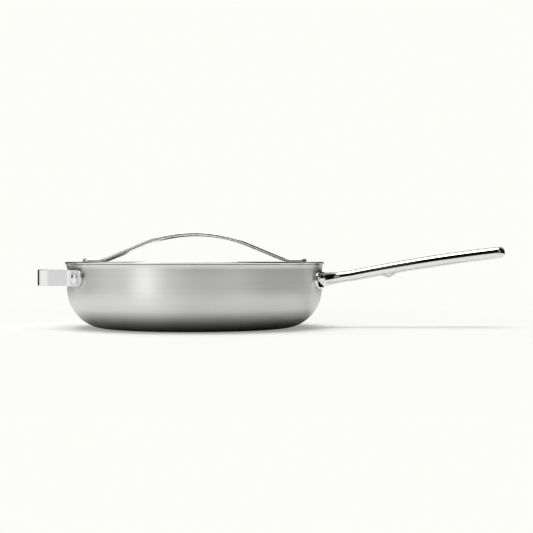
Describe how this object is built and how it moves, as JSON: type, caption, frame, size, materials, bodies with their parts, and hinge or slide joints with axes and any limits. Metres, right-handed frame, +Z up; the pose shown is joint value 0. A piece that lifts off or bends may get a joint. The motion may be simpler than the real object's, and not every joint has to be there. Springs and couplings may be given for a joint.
{
  "type": "saute pan with lid",
  "caption": "Straight-sided stainless saute pan with a long cast handle, a helper handle and a flat lift-off lid that carries an arched strap handle.",
  "frame": {"origin": "centre of the pan's flat base, on the surface that the pan stands on", "axes": "+X along the long handle, -X towards the helper handle, +Z up out of the pan"},
  "size_m": [0.5448, 0.3046, 0.1119],
  "materials": {
    "outer_steel_ply": "fine circular brushing, satin",
    "outer_aluminium_ply": "bonded between steel layers, seen only at the rim's edge",
    "middle_steel_ply": "bonded core layer, seen only at the rim's edge",
    "inner_aluminium_ply": "bonded between steel layers, seen only at the rim's edge",
    "inner_steel_ply": "fine circular brushing, satin",
    "long_handle": "cast stainless steel, polished",
    "long_handle_rivets": "stainless steel, polished domes",
    "helper_handle": "bent stainless band, polished",
    "helper_handle_rivets": "stainless steel, polished domes",
    "lid_disc": "fine circular brushing with a polished rolled edge",
    "lid_strap": "bent stainless strip, polished",
    "lid_strap_studs": "stainless steel, ground flush"
  },
  "bodies": {
    "pan": {"outer_steel_ply": "outer_steel_ply", "outer_aluminium_ply": "outer_aluminium_ply", "middle_steel_ply": "middle_steel_ply", "inner_aluminium_ply": "inner_aluminium_ply", "inner_steel_ply": "inner_steel_ply", "long_handle": "long_handle", "long_handle_rivets": "long_handle_rivets", "helper_handle": "helper_handle", "helper_handle_rivets": "helper_handle_rivets"},
    "lid": {"lid_disc": "lid_disc", "lid_strap": "lid_strap", "lid_strap_studs": "lid_strap_studs"}
  },
  "joints": [
    {"name": "lid_lift", "type": "slide", "parent": "pan", "child": "lid", "axis": [0, 0, 1], "range_m": [0, 0.16]}
  ]
}
